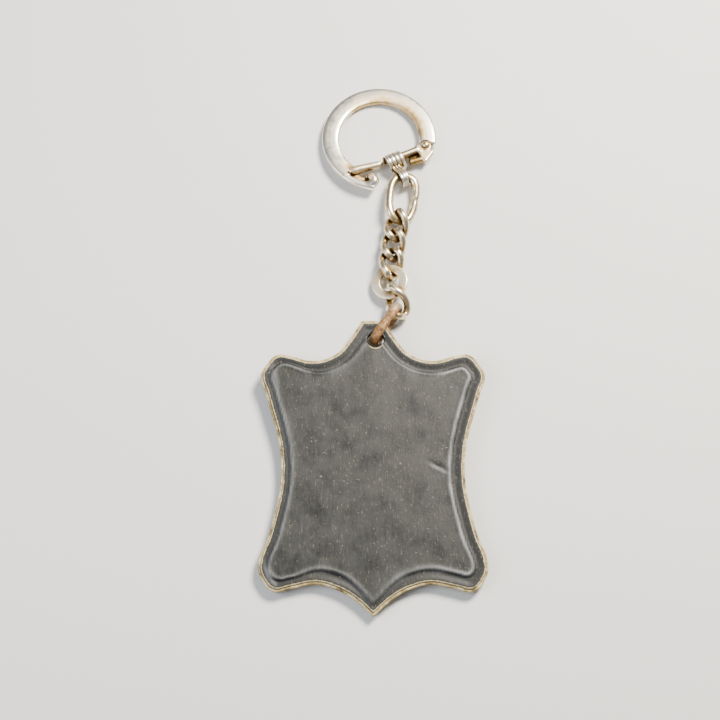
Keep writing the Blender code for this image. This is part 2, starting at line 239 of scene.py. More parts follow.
for lampName in ("key", "fill"):
    plan = studio[lampName]
    lampData = bpy.data.lights.new(lampName, "AREA")
    lampData.shape = "DISK"
    lampData.size = plan["size"] * mm
    lampData.energy = plan["power"]
    lampData.color = hexColour(plan["tint"])[:3]
    lamp = bpy.data.objects.new(lampName, lampData)
    bpy.context.scene.collection.objects.link(lamp)
    lamp.location = Vector(plan["place"]) * mm
    lamp.rotation_euler = (-lamp.location).to_track_quat("-Z", "Y").to_euler()

room = bpy.data.worlds.new("room")
room.use_nodes = True
skyLight = room.node_tree.nodes["Background"]
skyLight.inputs["Color"].default_value = hexColour(studio["room"]["sky"])
skyLight.inputs["Strength"].default_value = studio["room"]["strength"]
bpy.context.scene.world = room
print("stage: camera, floor and lamps")

# Nickel plate over steel, rolled and barrel polished, then years in a pocket: a warm silver with a
# yellow-brown film and cloudy rubbed places on the high parts, and painted shade that browns it in the
# hollows and under other parts, standing also for the tarnish there.
def nickelPlate(name, plan):
    made = newMaterial(name)
    coords = addNode(made, "ShaderNodeTexCoord")
    cloud = addNode(made, "ShaderNodeTexNoise", {}, {
        "Vector": coords.outputs["Object"], "Scale": 1 / (plan["cloud"] * mm),
        "Detail": 5, "Roughness": 0.6})
    # painted shade and tarnish: this mark browns the nickel where other parts block the sky
    grime = addNode(made, "ShaderNodeAttribute", {"attribute_name": "grime"})
    filmAndShade = addNode(made, "ShaderNodeMath", {"operation": "MULTIPLY_ADD"}, {
        0: cloud.outputs["Fac"], 1: 0.9, 2: grime.outputs["Fac"]})
    filmShadeRamp = addNode(made, "ShaderNodeValToRGB", {"stops": [
        (plan["cleanUpTo"], hexColour(plan["clean"])), (plan["filmFrom"], hexColour(plan["film"])),
        (1.0, hexColour(plan["hollow"]))]}, {"Fac": filmAndShade.outputs[0]})
    roughRamp = addNode(made, "ShaderNodeValToRGB", {"stops": [
        (0.35, grey(plan["gloss"])), (1.0, grey(0.62))]}, {"Fac": filmAndShade.outputs[0]})
    scratch = addNode(made, "ShaderNodeTexNoise", {}, {
        "Vector": coords.outputs["Object"], "Scale": 1 / (plan["scratch"] * mm), "Detail": 3})
    scratchBump = addNode(made, "ShaderNodeBump", {}, {
        "Height": scratch.outputs["Fac"], "Strength": 0.12, "Distance": 0.02 * mm})
    shader = addNode(made, "ShaderNodeBsdfPrincipled", {}, {
        "Base Color": filmShadeRamp.outputs["Color"], "Metallic": 1.0,
        "Roughness": roughRamp.outputs["Color"], "Normal": scratchBump.outputs[0]})
    addNode(made, "ShaderNodeOutputMaterial", {}, {"Surface": shader.outputs[0]})
    return made

bandNickel = nickelPlate("worn nickel plated band", {
    "clean": "#f7f3e8", "film": "#c4a875", "hollow": "#4f3b1c", "cloud": 2.4, "scratch": 0.12,
    "cleanUpTo": 0.4, "filmFrom": 0.74, "gloss": 0.27})
wireNickel = nickelPlate("tarnished nickel plated wire", {
    "clean": "#ece0c2", "film": "#ad8f58", "hollow": "#3f2d14", "cloud": 1.4, "scratch": 0.12,
    "cleanUpTo": 0.36, "filmFrom": 0.66, "gloss": 0.24})
# a lighter, rougher copy of the nickel for the washer: its rubbed finish, and painted brightness for the
# reflection it catches
washerNickelWithSheen = nickelPlate("rubbed nickel plated washer with painted sheen", {
    "clean": "#fbf1d8", "film": "#c8a870", "hollow": "#553d1c", "cloud": 1.6, "scratch": 0.1,
    "cleanUpTo": 0.38, "filmFrom": 0.72, "gloss": 0.4})

# Mild steel wire with its plating gone: orange-brown rust with dark pits, rubbed thin at the top.
rustPlan = {"pit": "#24150a", "rust": "#6e4826", "bloom": "#a07a4c", "bare": "#c9bb9f",
            "patch": 1.1, "grain": 0.22}
rustedSteel = newMaterial("rusted steel wire")
coords = addNode(rustedSteel, "ShaderNodeTexCoord")
patches = addNode(rustedSteel, "ShaderNodeTexNoise", {}, {
    "Vector": coords.outputs["Object"], "Scale": 1 / (rustPlan["patch"] * mm),
    "Detail": 6, "Roughness": 0.65})
crust = addNode(rustedSteel, "ShaderNodeTexNoise", {}, {
    "Vector": coords.outputs["Object"], "Scale": 1 / (rustPlan["grain"] * mm),
    "Detail": 4, "Roughness": 0.7})
worn = addNode(rustedSteel, "ShaderNodeAttribute", {"attribute_name": "rubbed"})
rustAmount = addNode(rustedSteel, "ShaderNodeMath", {"operation": "MULTIPLY_ADD"}, {
    0: crust.outputs["Fac"], 1: 0.45, 2: patches.outputs["Fac"]})
rustRamp = addNode(rustedSteel, "ShaderNodeValToRGB", {"stops": [
    (0.5, hexColour(rustPlan["pit"])), (0.68, hexColour(rustPlan["rust"])),
    (0.86, hexColour(rustPlan["bloom"]))]}, {"Fac": rustAmount.outputs[0]})
bareMix = addNode(rustedSteel, "ShaderNodeMix", {"data_type": "RGBA"}, {
    0: worn.outputs["Fac"], 6: rustRamp.outputs["Color"], 7: hexColour(rustPlan["bare"])})
bareMetal = addNode(rustedSteel, "ShaderNodeMapRange", {}, {
    "Value": worn.outputs["Fac"], "To Min": 0.35, "To Max": 1.0})
rustBump = addNode(rustedSteel, "ShaderNodeBump", {}, {
    "Height": rustAmount.outputs[0], "Strength": 0.6, "Distance": 0.08 * mm})
rustShader = addNode(rustedSteel, "ShaderNodeBsdfPrincipled", {}, {
    "Base Color": bareMix.outputs[2], "Metallic": bareMetal.outputs[0], "Roughness": 0.55,
    "Normal": rustBump.outputs[0]})
addNode(rustedSteel, "ShaderNodeOutputMaterial", {}, {"Surface": rustShader.outputs[0]})

# Cowhide, chrome tanned, with a smooth black finish coat that is rubbed grey: a low sheen,
# faint streaks down its length, tan flecks where the coat is chipped, and a pale worn rim.
# the crease colour is a painted highlight, for light on the crease's bead, partly a rubbed coat
hidePlan = {"deep": "#191a18", "rubbed": "#363632", "fleck": "#a3957a", "bare": "#c4b48a",
            "crease": "#a2a4a3", "streak": 0.42, "cloud": 5.5, "pore": 0.55, "chip": 0.6, "scuff": 0.26}
blackHide = newMaterial("rubbed black cowhide")
coords = addNode(blackHide, "ShaderNodeTexCoord")
along = addNode(blackHide, "ShaderNodeMapping", {}, {
    "Vector": coords.outputs["Object"], "Rotation": (0, 0, math.radians(9)), "Scale": (1, 0.14, 1)})
streak = addNode(blackHide, "ShaderNodeTexNoise", {}, {
    "Vector": along.outputs[0], "Scale": 1 / (hidePlan["streak"] * mm), "Detail": 4, "Roughness": 0.6})
hideCloud = addNode(blackHide, "ShaderNodeTexNoise", {}, {
    "Vector": coords.outputs["Object"], "Scale": 1 / (hidePlan["cloud"] * mm),
    "Detail": 5, "Roughness": 0.62})
# painted shade: this mark darkens the band between the rim and the crease, and makes it rougher
keptCoat = addNode(blackHide, "ShaderNodeAttribute", {"attribute_name": "keptCoat"})
rubbedAway = addNode(blackHide, "ShaderNodeMath", {"operation": "MULTIPLY_ADD"}, {
    0: streak.outputs["Fac"], 1: 0.4, 2: hideCloud.outputs["Fac"]})
coatWearAndGrooveShade = addNode(blackHide, "ShaderNodeMath", {"operation": "MULTIPLY_ADD"}, {
    0: keptCoat.outputs["Fac"], 1: -0.25, 2: rubbedAway.outputs[0]})
hideRamp = addNode(blackHide, "ShaderNodeValToRGB", {"stops": [
    (0.52, hexColour(hidePlan["deep"])), (0.95, hexColour(hidePlan["rubbed"]))]}, {
    "Fac": coatWearAndGrooveShade.outputs[0]})
chip = addNode(blackHide, "ShaderNodeTexNoise", {}, {
    "Vector": coords.outputs["Object"], "Scale": 1 / (hidePlan["chip"] * mm),
    "Detail": 2, "Roughness": 0.5})
slant = addNode(blackHide, "ShaderNodeMapping", {}, {
    "Vector": coords.outputs["Object"], "Rotation": (0, 0, math.radians(24)), "Scale": (1, 0.22, 1)})
scuff = addNode(blackHide, "ShaderNodeTexNoise", {}, {
    "Vector": slant.outputs[0], "Scale": 1 / (hidePlan["scuff"] * mm), "Detail": 3, "Roughness": 0.55})
scuffMask = addNode(blackHide, "ShaderNodeMapRange", {}, {
    "Value": scuff.outputs["Fac"], "From Min": 0.6, "From Max": 0.84, "To Max": 0.85})
scuffPatch = addNode(blackHide, "ShaderNodeMath", {"operation": "MULTIPLY"}, {
    0: scuffMask.outputs[0], 1: hideCloud.outputs["Fac"]})
scuffMix = addNode(blackHide, "ShaderNodeMix", {"data_type": "RGBA"}, {
    0: scuffPatch.outputs[0], 6: hideRamp.outputs["Color"], 7: hexColour(hidePlan["fleck"])})
# painted highlight: this mark lightens a line along the crease and the folds towards pale grey
creaseWear = addNode(blackHide, "ShaderNodeAttribute", {"attribute_name": "creaseWear"})
creaseFine = addNode(blackHide, "ShaderNodeMath", {"operation": "MULTIPLY"}, {
    0: creaseWear.outputs["Fac"], 1: streak.outputs["Fac"]})
creaseMix = addNode(blackHide, "ShaderNodeMix", {"data_type": "RGBA"}, {
    0: creaseFine.outputs[0], 6: scuffMix.outputs[2], 7: hexColour(hidePlan["crease"])})
chipMask = addNode(blackHide, "ShaderNodeMapRange", {}, {
    "Value": chip.outputs["Fac"], "From Min": 0.68, "From Max": 0.78, "To Max": 0.5})
fleckMix = addNode(blackHide, "ShaderNodeMix", {"data_type": "RGBA"}, {
    0: chipMask.outputs[0], 6: creaseMix.outputs[2], 7: hexColour(hidePlan["fleck"])})
rimWear = addNode(blackHide, "ShaderNodeAttribute", {"attribute_name": "rimWear"})
brokenRim = addNode(blackHide, "ShaderNodeMath", {"operation": "MULTIPLY_ADD"}, {
    0: chip.outputs["Fac"], 1: 0.8, 2: rimWear.outputs["Fac"]})
rimMask = addNode(blackHide, "ShaderNodeMapRange", {}, {
    "Value": brokenRim.outputs[0], "From Min": 0.75, "From Max": 1.05})
rimMix = addNode(blackHide, "ShaderNodeMix", {"data_type": "RGBA"}, {
    0: rimMask.outputs[0], 6: fleckMix.outputs[2], 7: hexColour(hidePlan["bare"])})
pores = addNode(blackHide, "ShaderNodeTexVoronoi", {"feature": "F1"}, {
    "Vector": coords.outputs["Object"], "Scale": 1 / (hidePlan["pore"] * mm), "Randomness": 1.0})
poreHeight = addNode(blackHide, "ShaderNodeMath", {"operation": "MULTIPLY_ADD"}, {
    0: streak.outputs["Fac"], 1: 0.8, 2: pores.outputs["Distance"]})
hideBump = addNode(blackHide, "ShaderNodeBump", {}, {
    "Height": poreHeight.outputs[0], "Strength": 0.18, "Distance": 0.05 * mm})
sheenRough = addNode(blackHide, "ShaderNodeMapRange", {}, {
    "Value": coatWearAndGrooveShade.outputs[0], "From Min": 0.5, "From Max": 0.95, "To Min": 0.4, "To Max": 0.6})
dullGroove = addNode(blackHide, "ShaderNodeMath", {"operation": "MULTIPLY_ADD"}, {
    0: keptCoat.outputs["Fac"], 1: 0.14, 2: sheenRough.outputs[0]})
hideShader = addNode(blackHide, "ShaderNodeBsdfPrincipled", {}, {
    "Base Color": rimMix.outputs[2], "Roughness": dullGroove.outputs[0], "IOR": 1.5,
    "Specular IOR Level": 0.41, "Normal": hideBump.outputs[0]})
addNode(blackHide, "ShaderNodeOutputMaterial", {}, {"Surface": hideShader.outputs[0]})

# The same hide where it is cut and not coated: pale tan fibres, darker where hands have soiled it.
rawPlan = {"pale": "#cbbc8e", "tan": "#97824e", "soiled": "#57472a", "patch": 3.0, "fibre": 0.3}
rawEdge = newMaterial("raw cut leather")
coords = addNode(rawEdge, "ShaderNodeTexCoord")
rawPatch = addNode(rawEdge, "ShaderNodeTexNoise", {}, {
    "Vector": coords.outputs["Object"], "Scale": 1 / (rawPlan["patch"] * mm),
    "Detail": 5, "Roughness": 0.7})
rawRamp = addNode(rawEdge, "ShaderNodeValToRGB", {"stops": [
    (0.36, hexColour(rawPlan["soiled"])), (0.46, hexColour(rawPlan["tan"])),
    (0.6, hexColour(rawPlan["pale"]))]}, {"Fac": rawPatch.outputs["Fac"]})
fibres = addNode(rawEdge, "ShaderNodeTexNoise", {}, {
    "Vector": coords.outputs["Object"], "Scale": 1 / (rawPlan["fibre"] * mm),
    "Detail": 4, "Roughness": 0.7})
rawBump = addNode(rawEdge, "ShaderNodeBump", {}, {
    "Height": fibres.outputs["Fac"], "Strength": 0.5, "Distance": 0.06 * mm})
rawShader = addNode(rawEdge, "ShaderNodeBsdfPrincipled", {}, {
    "Base Color": rawRamp.outputs["Color"], "Roughness": 0.72, "Normal": rawBump.outputs[0]})
addNode(rawEdge, "ShaderNodeOutputMaterial", {}, {"Surface": rawShader.outputs[0]})
print("stage: finishes")

def finishPiece(piece, finish, node, body):
    piece.data.materials.clear()
    piece.data.materials.append(finish)
    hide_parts(node)
    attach(piece, body)

# The fob is three plies, built flat and then lifted at the neck.
fobPlan = {
    "tailY": -65.5, "lift": 1.6, "hole": (0.6, -1.1), "holeRadius": 2.1, "holeSides": 64,
    "backTop": 1.1, "coreBottom": 1.2, "rimTop": 2.62, "frontBottom": 2.0, "frontTop": 3.1,
    "backRound": 0.3, "coreRound": 0.28, "roundOver": 0.32, "coverGrow": 0.16, "lipGrow": 0.21,
    "gridPitch": 0.42,
    "grooveAt": 1.7, "grooveDepth": 0.22, "shoulderFrom": 1.95, "shoulderTo": 2.75, "panelRise": 0.33,
    "bead": 0.1, "beadAt": 2.85, "swell": 0.1, "cornerRadius": 1.5, "leftNearer": 0.9, "tailNearer": 1.3,
    "dents": (  # place, turn, half length, half width, height
        ((15.2, -31.6), -30, 2.3, 0.5, -0.26),
        ((15.2, -32.3), -24, 2.1, 0.28, 0.1),
        ((-23.6, -56.0), -63, 3.2, 0.55, 0.2),
        ((-23.2, -9.4), -70, 3.0, 0.7, 0.14),
    ),
}
toTail = Matrix.Translation((0, fobPlan["tailY"] * mm, 0))
liftFob = toTail @ Matrix.Rotation(math.radians(fobPlan["lift"]), 4, "X") @ toTail.inverted()

def lowerOutline(nodeName):
    # the outer loop of a ply's flat underside, in order, in millimetres, laid level
    shape = bmesh.new()
    shape.from_mesh(cadNodes[nodeName].data)
    shape.transform(liftFob.inverted())
    bmesh.ops.remove_doubles(shape, verts=shape.verts, dist=0.002 * mm)
    bottom = min(v.co.z for v in shape.verts)
    under = {f for f in shape.faces if all(v.co.z < bottom + 0.02 * mm for v in f.verts)}
    rim = [e for e in shape.edges if sum(f in under for f in e.link_faces) == 1]
    start = max(rim, key=lambda e: e.verts[0].co.x)
    loop = [start.verts[0], start.verts[1]]
    while loop[-1] != loop[0]:
        onward = [e.other_vert(loop[-1]) for e in rim if loop[-1] in e.verts]
        loop.append([v for v in onward if v != loop[-2]][0])
    places = [v.co.xy / mm for v in loop[:-1]]
    shape.free()
    return places

def plyCurve(name, outline, bottom, top, roundOver, grow=0.0, withHole=True):
    # a rounded slab from a smooth outline, its corners kept sharp
    freshStart()
    curve = bpy.data.curves.new(name, "CURVE")
    curve.dimensions = "2D"
    curve.fill_mode = "BOTH"
    curve.extrude = ((top - bottom) / 2 - roundOver) * mm
    curve.bevel_depth = roundOver * mm
    curve.bevel_resolution = 3
    curve.offset = (grow - roundOver) * mm
    curve.resolution_u = 4
    spline = curve.splines.new("BEZIER")
    spline.bezier_points.add(len(outline) - 1)
    for knot, before, here, after in zip(
            spline.bezier_points, outline[-1:] + outline[:-1], outline, outline[1:] + outline[:1]):
        knot.co = (here.x * mm, here.y * mm, 0)
        sharp = (here - before).angle(after - here) > math.radians(45)
        knot.handle_left_type = knot.handle_right_type = "VECTOR" if sharp else "AUTO"
    spline.use_cyclic_u = True
    if withHole:
        hole = curve.splines.new("POLY")
        hole.points.add(fobPlan["holeSides"] - 1)
        for index, point in enumerate(hole.points):
            angle = -math.tau * index / fobPlan["holeSides"]
            x, y = fobPlan["hole"]
            point.co = ((x + fobPlan["holeRadius"] * math.cos(angle)) * mm,
                        (y + fobPlan["holeRadius"] * math.sin(angle)) * mm, 0, 1)
        hole.use_cyclic_u = True
    ply = bpy.data.objects.new(name, curve)
    bpy.context.scene.collection.objects.link(ply)
    makeActive(ply)
    bpy.ops.object.convert(target="MESH")
    ply = nameIt(name)
    ply.data.transform(Matrix.Translation((0, 0, (top + bottom) / 2 * mm)))
    cleanUp(ply, 50)
    return ply

def gridCut(ply, faceRule, pitch):
    # cuts the picked faces into small squares, so that they can be shaped
    low = [min(v.co[i] for v in ply.data.vertices) for i in (0, 1)]
    high = [max(v.co[i] for v in ply.data.vertices) for i in (0, 1)]
    pickFaces(ply, faceRule)
    bpy.ops.mesh.hide(unselected=True)
    for axis, across in ((0, (1, 0, 0)), (1, (0, 1, 0))):
        place = low[axis] + pitch * mm
        while place < high[axis]:
            bpy.ops.mesh.select_all(action="SELECT")
            bpy.ops.mesh.bisect(plane_co=[place * c for c in across], plane_no=across)
            place += pitch * mm
    bpy.ops.mesh.reveal(select=False)
    bpy.ops.object.mode_set(mode="OBJECT")

def distanceTo(outline):
    # a nearest-point search over the outline, filled in every 0.1 mm
    dense = []
    for start, end in zip(outline, outline[1:] + outline[:1]):
        steps = max(1, int((end - start).length / 0.1))
        dense += [start.lerp(end, i / steps) for i in range(steps)]
    tree = KDTree(len(dense))
    for index, place in enumerate(dense):
        tree.insert((place.x, place.y, 0), index)
    tree.balance()
    return lambda x, y: tree.find((x, y, 0))[2]

def ease(value, start, end):
    t = max(0.0, min(1.0, (value - start) / (end - start)))
    return t * t * (3 - 2 * t)

coreOutline = lowerOutline("fob_core")
coverOutline = lowerOutline("fob_front_cover")
fromCoverEdge = distanceTo(coverOutline)

fobCore = plyCurve("fobCore", coreOutline, fobPlan["coreBottom"], fobPlan["rimTop"], fobPlan["coreRound"])
lipCutter = plyCurve(
    "lipCutter", coverOutline, fobPlan["frontBottom"] - 0.05, 5, 0.01, fobPlan["lipGrow"], False)
cut(fobCore, lipCutter, "DIFFERENCE")
cleanUp(fobCore, 50)

fobBack = plyCurve("fobBack", coverOutline, 0.0, fobPlan["backTop"], fobPlan["backRound"])
fobFront = plyCurve("fobFront", coverOutline, fobPlan["frontBottom"], fobPlan["frontTop"],
                    fobPlan["roundOver"], fobPlan["coverGrow"])
topOfCover = fobPlan["frontTop"] * mm
gridCut(fobFront, lambda face: face.normal.z > 0.99 and face.center.z > topOfCover - 0.01 * mm,
        fobPlan["gridPitch"])

def movedIn(outline, fromEdge, depth):
    # the outline moved in by depth, as a dense run of points, without the parts that cross
    area = sum(p.x * q.y - q.x * p.y for p, q in zip(outline, outline[1:] + outline[:1]))
    side = 1 if area > 0 else -1
    kept = []
    for start, end in zip(outline, outline[1:] + outline[:1]):
        inward = Vector((start.y - end.y, end.x - start.x)).normalized() * side
        for step in range(8):
            place = start.lerp(end, step / 8) + inward * depth
            if fromEdge(*place) > depth * 0.985:
                kept.append(place)
    tree = KDTree(len(kept))
    for index, place in enumerate(kept):
        tree.insert((place.x, place.y, 0), index)
    tree.balance()
    return lambda x, y: tree.find((x, y, 0))[2]

innerDepth = fobPlan["shoulderTo"] + fobPlan["cornerRadius"]
fromInner = movedIn(coverOutline, fromCoverEdge, innerDepth)

def inFromEdge(x, y):
    # like the distance from the edge, but turning the four wide corners on a radius
    reach = fromCoverEdge(x, y)
    # the crease runs nearer the rim down the left side and at the tail
    nearer = fobPlan["leftNearer"] * ease(-x, 11, 18)
    nearer += fobPlan["tailNearer"] * (1 - ease(abs(x), 0, 7)) * ease(-y, 50, 56)
    if reach > innerDepth:
        return reach + nearer
    turned = innerDepth - fromInner(x, y)
    keep = 1 - ease(abs(x), 6, 11)
    return turned * (1 - keep) + reach * keep + nearer

def bump(x, y, dent):
    # one long soft dent or fold
    (atX, atY), turn, halfLength, halfWidth, height = dent
    angle = math.radians(turn)
    dx, dy = x - atX, y - atY
    u = (dx * math.cos(angle) + dy * math.sin(angle)) / halfLength
    v = (-dx * math.sin(angle) + dy * math.cos(angle)) / halfWidth
    return height * math.exp(-u * u - v * v)

def panelHeight(x, y):
    # millimetres above the flat cover: a groove along the rim, a shoulder with a bead, a swollen middle
    reach = inFromEdge(x, y)
    edge = fromCoverEdge(x, y)
    groove = -fobPlan["grooveDepth"] * ease(edge, 0.35, fobPlan["grooveAt"])
    shoulder = ease(reach, fobPlan["shoulderFrom"], fobPlan["shoulderTo"])
    rise = (fobPlan["panelRise"] + fobPlan["grooveDepth"]) * shoulder
    bead = fobPlan["bead"] * math.exp(-((reach - fobPlan["beadAt"]) / 0.42) ** 2)
    swell = fobPlan["swell"] * ease(reach, 3.2, 10)
    waves = 0.07 * noise.noise((x / 7, y / 9, 1.7)) + 0.025 * noise.noise((x / 2.2, y / 3.1, 5.2))
    dents = sum(bump(x, y, dent) for dent in fobPlan["dents"])
    return groove + rise + bead + swell + waves * ease(edge, 0.4, 3) + dents

for vertex in fobFront.data.vertices:
    if vertex.co.z > topOfCover - 0.005 * mm:
        vertex.co.z += panelHeight(vertex.co.x / mm, vertex.co.y / mm) * mm
cleanUp(fobFront, 60)

rimMarks, creaseMarks, grooveShadeMarks = [
    fobFront.data.attributes.new(name, "FLOAT", "POINT") for name in ("rimWear", "creaseWear", "keptCoat")]
holeX, holeY = fobPlan["hole"]
for vertex, rimEntry, creaseEntry, grooveShadeEntry in zip(
        fobFront.data.vertices, rimMarks.data, creaseMarks.data, grooveShadeMarks.data):
    x, y = vertex.co.x / mm, vertex.co.y / mm
    wear = 1 - ease(fromCoverEdge(x, y), 0.0, 0.3)
    # the strap link has rubbed the lower lip of the hole pale
    fromHole = math.hypot(x - holeX, y - holeY) - fobPlan["holeRadius"]
    below = max(0.0, -(y - holeY) / (abs(fromHole) + fobPlan["holeRadius"]))
    wear = max(wear, below * (1 - ease(fromHole, 0.0, 0.6)))
    rimEntry.value = wear * 0.75
    # painted highlight along the crease, partly a rubbed coat: a fine pale line down both sides, stronger
    # on the right, where the light falls, broad and faint across the ends, and on the folds
    downSide = ease(abs(x), 13, 18)
    width = 0.85 - (0.5 if x > 0 else 0.58) * downSide
    line = (0.42 + 0.95 * downSide) * math.exp(-((inFromEdge(x, y) - 2.8) / width) ** 2)
    folds = sum(abs(bump(x, y, dent)) * 5 for dent in fobPlan["dents"][1:])
    patchy = 0.65 + 0.7 * noise.noise((x / 5, y / 5, 9.1))
    creaseEntry.value = max(0.0, min(1.5, (line + folds) * patchy * (1.0 if x > 0 else 0.62)))
    # painted shade in the groove between the rim and the crease
    grooveShadeEntry.value = 1 - ease(inFromEdge(x, y), 1.9, 2.9)

for piece, finish, slotName, node in (
        (fobFront, blackHide, "black_leather", "fob_front_cover"),
        (fobBack, blackHide, "black_leather", "fob_back_cover"),
        (fobCore, rawEdge, "raw_leather", "fob_core")):
    piece.data.transform(liftFob)
    finishPiece(piece, finish, node, "fob")
print("stage: fob,", len(fobFront.data.polygons), "faces on its front")

# Each link of the chain is one bent wire, its middle line a squared oval with a twist.
curbLink = {"half": (2.3, 3.5), "square": (0.75, 0.75), "twist": 60, "wire": 0.83, "tilt": -7}
chainPlan = {
    "ovalLink": {"node": "oval_link", "body": "oval", "half": (3.2, 5.72), "square": (0.72, 0.72),
                 "twist": 14, "wire": 1.03, "at": (7.19, 35.5, 2.4),
                 "roll": -17.7, "pitch": 0.8, "tilt": -8.4},
    "curbLink1": {**curbLink, "node": "curb_link_1", "body": "first_curb",
                  "at": (5.82, 28.51, 2.52), "roll": 14.7, "pitch": 1.3},
    "curbLink2": {**curbLink, "node": "curb_link_2", "body": "second_curb",
                  "at": (4.97, 23.46, 2.44), "roll": -2.5, "pitch": 0},
    "curbLink3": {**curbLink, "node": "curb_link_3", "body": "third_curb",
                  "at": (4.38, 18.54, 2.55), "roll": -17, "pitch": -2.5},
    "curbLink4": {**curbLink, "node": "curb_link_4", "body": "last_curb", "half": (2.25, 3.95),
                  "twist": 81, "at": (5.6, 8.95, 3.05), "roll": 34, "pitch": 0, "tilt": 18},
    "strapLink": {"node": "strap_link", "body": "strap", "half": (2.65, 5.16), "square": (0.8, 0.55),
                  "twist": 0, "wire": 0.65, "at": (3.17, 3.17, 3.37), "roll": 0, "pitch": 0, "tilt": -34},
}
wirePlan = {"steps": 144, "jointStep": 0.16, "strapWiden": 1.77}

def loopPlaces(plan):
    places = []
    for step in range(wirePlan["steps"]):
        angle = math.tau * (step + 0.5) / wirePlan["steps"]
        c, s = math.cos(angle), math.sin(angle)
        across = plan["half"][0] * math.copysign(abs(c) ** plan["square"][0], c)
        lengthways = plan["half"][1] * math.copysign(abs(s) ** plan["square"][1], s)
        twist = math.radians(plan["twist"]) * lengthways / plan["half"][1]
        places.append((across * math.cos(twist), lengthways, across * math.sin(twist)))
    return places

def jointGroove(places, at, wire):
    # the wire's two cut ends meet in a fine step
    nearest = min(range(len(places)), key=lambda i: (Vector(places[i]) - Vector(at)).length)
    return [wire - (wirePlan["jointStep"] if i == nearest else 0) for i in range(len(places))]

def turnPiece(plan):
    turn = Matrix.Rotation(math.radians(plan["tilt"]), 4, "Z")
    turn @= Matrix.Rotation(math.radians(plan["pitch"]), 4, "X")
    turn @= Matrix.Rotation(math.radians(-plan["roll"]), 4, "Y")
    return Matrix.Translation(Vector(plan["at"]) * mm) @ turn

metalPieces = []
for linkName, plan in chainPlan.items():
    places = loopPlaces(plan)
    halfWide, halfLong = plan["half"]
    jointAt = (halfWide, 0.1 * halfLong, 0) if linkName == "ovalLink" else (-halfWide, 0, 0)
    radii = jointGroove(places, jointAt, plan["wire"])
    link = bendWire(linkName, places, radii, closed=True)
    if linkName == "strapLink":
        link.data.transform(Matrix.Rotation(math.radians(90), 4, "Y"))
        link.data.transform(Matrix.Diagonal((wirePlan["strapWiden"], 1, 1, 1)))
    link.data.transform(turnPiece(plan))
    cleanUp(link, 60)
    if linkName == "strapLink":
        finishPiece(link, rustedSteel, plan["node"], plan["body"])
    else:
        finishPiece(link, wireNickel, plan["node"], plan["body"])
    metalPieces.append(link)

# the strap link is bare where the last curb link rubs it, and pitted all over
strapLink = metalPieces[-1]
rubbed = strapLink.data.attributes.new("rubbed", "FLOAT", "POINT")
for vertex, entry in zip(strapLink.data.vertices, rubbed.data):
    place = vertex.co / mm
    patchy = noise.noise(place * 0.9) * 0.35
    entry.value = max(0.0, min(1.0, ease(place.y, 4.6, 8.6) + patchy)) * 0.75
    vertex.co += vertex.normal * mm * (0.05 * noise.noise(place * 2.4) + 0.02 * noise.noise(place * 7.5))

washerPlan = {"outer": 4.4, "inner": 2.3, "thick": 0.84, "edge": 0.3, "sides": 128,
              "at": (4.1, 13.86, 2.67), "lean": (-1.5, -14.5)}
freshStart()
bpy.ops.mesh.primitive_cylinder_add(
    vertices=washerPlan["sides"], radius=washerPlan["outer"] * mm, depth=washerPlan["thick"] * mm)
washer = nameIt("washerRing")
pickFaces(washer, lambda face: abs(face.normal.z) > 0.9)
bpy.ops.mesh.inset(thickness=(washerPlan["outer"] - washerPlan["inner"]) * mm)
bpy.ops.mesh.bridge_edge_loops()
bpy.ops.object.mode_set(mode="OBJECT")
softenEdges(washer, washerPlan["edge"], 4)
cleanUp(washer, 60)
lean = [math.radians(angle) for angle in washerPlan["lean"]]
washer.data.transform(Matrix.Translation(Vector(washerPlan["at"]) * mm)
                      @ Matrix.Rotation(lean[1], 4, "Y") @ Matrix.Rotation(lean[0], 4, "X"))
finishPiece(washer, washerNickelWithSheen, "washer_ring", "washer")
metalPieces.append(washer)
print("stage: chain")

# The key ring, gate and sleeve are built level about the ring's centre, then put in place together.
ringPlan = {
    "centre": (1.7, 51.55, 1.82), "tilt": 3.7, "outer": 13.95, "inner": 9.8, "half": 0.85,
    "start": -6.0, "split": 232, "end": 265, "stripInner": 12.4,
    "rivet": (11.33, -2.17), "lugRadius": 1.45, "barAngle": 23.5, "barRadius": 1.0, "barLength": 10.4,
}
ringTilt = Matrix.Rotation(-math.radians(ringPlan["tilt"]), 4, "X")
ringPlace = Matrix.Translation(Vector(ringPlan["centre"]) * mm) @ ringTilt

def onRing(degrees, radius, height=0.0):
    angle = math.radians(degrees)
    return (radius * math.cos(angle), radius * math.sin(angle), height)

def onBar(along, across, height=0.0):
    angle = math.radians(ringPlan["barAngle"])
    x, y = ringPlan["rivet"]
    return (x - along * math.cos(angle) + across * math.sin(angle),
            y - along * math.sin(angle) - across * math.cos(angle), height)

